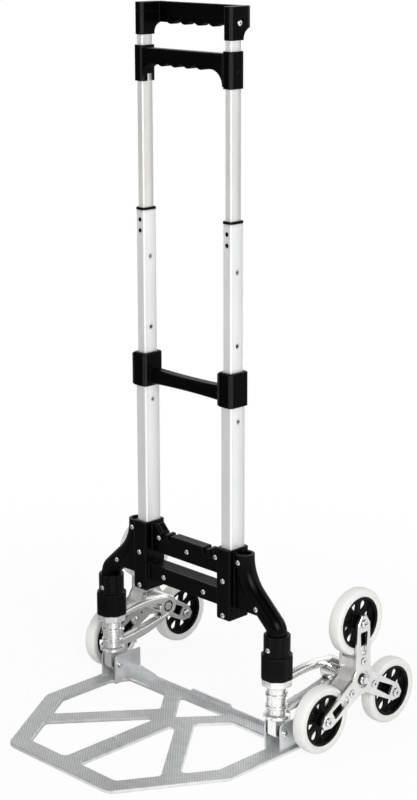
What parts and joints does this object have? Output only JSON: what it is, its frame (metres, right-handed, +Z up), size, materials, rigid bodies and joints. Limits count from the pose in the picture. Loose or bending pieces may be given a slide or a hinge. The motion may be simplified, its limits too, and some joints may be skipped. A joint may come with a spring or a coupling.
{
  "type": "folding stair-climbing hand truck",
  "caption": "Folding hand truck with a telescoping handle, lifting release grip, hinged windowed toe plate and swing-in arms that carry turning clusters of wheels for stairs.",
  "frame": {"origin": "on the floor, under the middle of the footprint of the opened truck", "axes": "+X to the truck's right-hand wheels, +Y to the rear, where the wheels are, +Z up along the handle"},
  "size_m": [0.469, 0.4804, 1.003],
  "materials": {
    "tube_aluminium": "satin anodised",
    "plate_aluminium": "cross-hatched satin",
    "polished_casting": "bright polished",
    "bright_steel": "bright plated",
    "zinc_steel": "zinc plated",
    "black_plastic": "satin moulded",
    "rim_plastic": "satin moulded",
    "spacer_plastic": "plain moulded",
    "tyre_rubber": "pale grey moulded rubber"
  },
  "bodies": {
    "frame": {"frame_front_shell": "black_plastic", "frame_rear_shell": "black_plastic", "frame_screws": "zinc_steel", "outer_tube_left": "tube_aluminium", "outer_tube_right": "tube_aluminium", "mid_crossbar": "black_plastic", "leg_post_left": "bright_steel", "leg_post_right": "bright_steel", "leg_coupler_left": "black_plastic", "leg_coupler_right": "black_plastic", "coupler_screws": "zinc_steel"},
    "middle_stage": {"middle_tube_left": "tube_aluminium", "middle_tube_right": "tube_aluminium", "middle_collar_left": "black_plastic", "middle_collar_right": "black_plastic", "middle_guide_feet": "spacer_plastic"},
    "inner_stage": {"inner_tube_left": "tube_aluminium", "inner_tube_right": "tube_aluminium", "inner_guide_feet": "spacer_plastic", "top_handle_grip": "black_plastic", "top_handle_cover": "black_plastic", "handle_screws": "zinc_steel"},
    "release_handle": {"release_grip": "black_plastic", "release_pins": "zinc_steel", "release_rods": "zinc_steel"},
    "toe_plate_fold": {"toe_plate": "plate_aluminium", "hinge_pins": "bright_steel", "hinge_spacers": "spacer_plastic"},
    "upper_lock_left": {"upper_lock_button_left": "zinc_steel"},
    "lower_lock_left": {"lower_lock_button_left": "zinc_steel"},
    "arm_left": {"wheel_arm_left": "polished_casting", "hub_axle_left": "bright_steel", "hub_nut_left": "bright_steel"},
    "spider_left": {"spider_core_left": "polished_casting", "spider_inner_plate_left": "polished_casting", "spider_outer_plate_left": "polished_casting", "spider_screws_left": "zinc_steel", "wheel_axles_left": "bright_steel"},
    "wheel_top_left": {"tyre_top_left": "tyre_rubber", "rim_top_left": "rim_plastic"},
    "wheel_front_left": {"tyre_front_left": "tyre_rubber", "rim_front_left": "rim_plastic"},
    "wheel_rear_left": {"tyre_rear_left": "tyre_rubber", "rim_rear_left": "rim_plastic"},
    "upper_lock_right": {"upper_lock_button_right": "zinc_steel"},
    "lower_lock_right": {"lower_lock_button_right": "zinc_steel"},
    "arm_right": {"wheel_arm_right": "polished_casting", "hub_axle_right": "bright_steel", "hub_nut_right": "bright_steel"},
    "spider_right": {"spider_core_right": "polished_casting", "spider_inner_plate_right": "polished_casting", "spider_outer_plate_right": "polished_casting", "spider_screws_right": "zinc_steel", "wheel_axles_right": "bright_steel"},
    "wheel_top_right": {"tyre_top_right": "tyre_rubber", "rim_top_right": "rim_plastic"},
    "wheel_front_right": {"tyre_front_right": "tyre_rubber", "rim_front_right": "rim_plastic"},
    "wheel_rear_right": {"tyre_rear_right": "tyre_rubber", "rim_rear_right": "rim_plastic"}
  },
  "joints": [
    {"name": "middle_stage_slide", "type": "slide", "parent": "frame", "child": "middle_stage", "axis": [0, 0, 1], "range_m": [-0.2, 0]},
    {"name": "inner_stage_slide", "type": "slide", "parent": "middle_stage", "child": "inner_stage", "axis": [0, 0, 1], "range_m": [-0.171, 0]},
    {"name": "release_slide", "type": "slide", "parent": "inner_stage", "child": "release_handle", "axis": [0, 0, 1], "range_m": [0, 0.012], "stiffness_N_per_m": 500, "springref_m": -0.008},
    {"name": "toe_plate_fold", "type": "hinge", "parent": "frame", "child": "toe_plate_fold", "pos_m": [0, 0.01183, 0.0286], "axis": [-1, 0, 0], "range_deg": [0, 90]},
    {"name": "upper_lock_left_slide", "type": "slide", "parent": "inner_stage", "child": "upper_lock_left", "axis": [-1, 0, 0], "range_m": [0, 0.003]},
    {"name": "lower_lock_left_slide", "type": "slide", "parent": "middle_stage", "child": "lower_lock_left", "axis": [-1, 0, 0], "range_m": [0, 0.003], "stiffness_N_per_m": 400, "springref_m": -0.002},
    {"name": "arm_left_swing", "type": "hinge", "parent": "frame", "child": "arm_left", "pos_m": [-0.168, 0.01183, 0.08], "axis": [0, 0, -1], "range_deg": [0, 50]},
    {"name": "spider_left_turn", "type": "hinge", "parent": "arm_left", "child": "spider_left", "pos_m": [-0.213, 0.12183, 0.0884], "axis": [1, 0, 0], "continuous": true},
    {"name": "wheel_top_left_spin", "type": "hinge", "parent": "spider_left", "child": "wheel_top_left", "pos_m": [-0.213, 0.12183, 0.1702], "axis": [1, 0, 0], "continuous": true},
    {"name": "wheel_front_left_spin", "type": "hinge", "parent": "spider_left", "child": "wheel_front_left", "pos_m": [-0.213, 0.05099, 0.0475], "axis": [1, 0, 0], "continuous": true},
    {"name": "wheel_rear_left_spin", "type": "hinge", "parent": "spider_left", "child": "wheel_rear_left", "pos_m": [-0.213, 0.19267, 0.0475], "axis": [1, 0, 0], "continuous": true},
    {"name": "upper_lock_right_slide", "type": "slide", "parent": "inner_stage", "child": "upper_lock_right", "axis": [-1, 0, 0], "range_m": [0, 0.003]},
    {"name": "lower_lock_right_slide", "type": "slide", "parent": "middle_stage", "child": "lower_lock_right", "axis": [-1, 0, 0], "range_m": [0, 0.003], "stiffness_N_per_m": 400, "springref_m": -0.002},
    {"name": "arm_right_swing", "type": "hinge", "parent": "frame", "child": "arm_right", "pos_m": [0.168, 0.01183, 0.08], "axis": [0, 0, 1], "range_deg": [0, 50]},
    {"name": "spider_right_turn", "type": "hinge", "parent": "arm_right", "child": "spider_right", "pos_m": [0.213, 0.12183, 0.0884], "axis": [1, 0, 0], "continuous": true},
    {"name": "wheel_top_right_spin", "type": "hinge", "parent": "spider_right", "child": "wheel_top_right", "pos_m": [0.213, 0.12183, 0.1702], "axis": [1, 0, 0], "continuous": true},
    {"name": "wheel_front_right_spin", "type": "hinge", "parent": "spider_right", "child": "wheel_front_right", "pos_m": [0.213, 0.05099, 0.0475], "axis": [1, 0, 0], "continuous": true},
    {"name": "wheel_rear_right_spin", "type": "hinge", "parent": "spider_right", "child": "wheel_rear_right", "pos_m": [0.213, 0.19267, 0.0475], "axis": [1, 0, 0], "continuous": true}
  ],
  "couplings": [
    {"joint": "upper_lock_left_slide", "follows": "release_slide", "ratio": 0.25},
    {"joint": "arm_left_swing", "follows": "toe_plate_fold", "ratio": 0.5555},
    {"joint": "upper_lock_right_slide", "follows": "release_slide", "ratio": 0.25},
    {"joint": "arm_right_swing", "follows": "toe_plate_fold", "ratio": 0.5555}
  ]
}
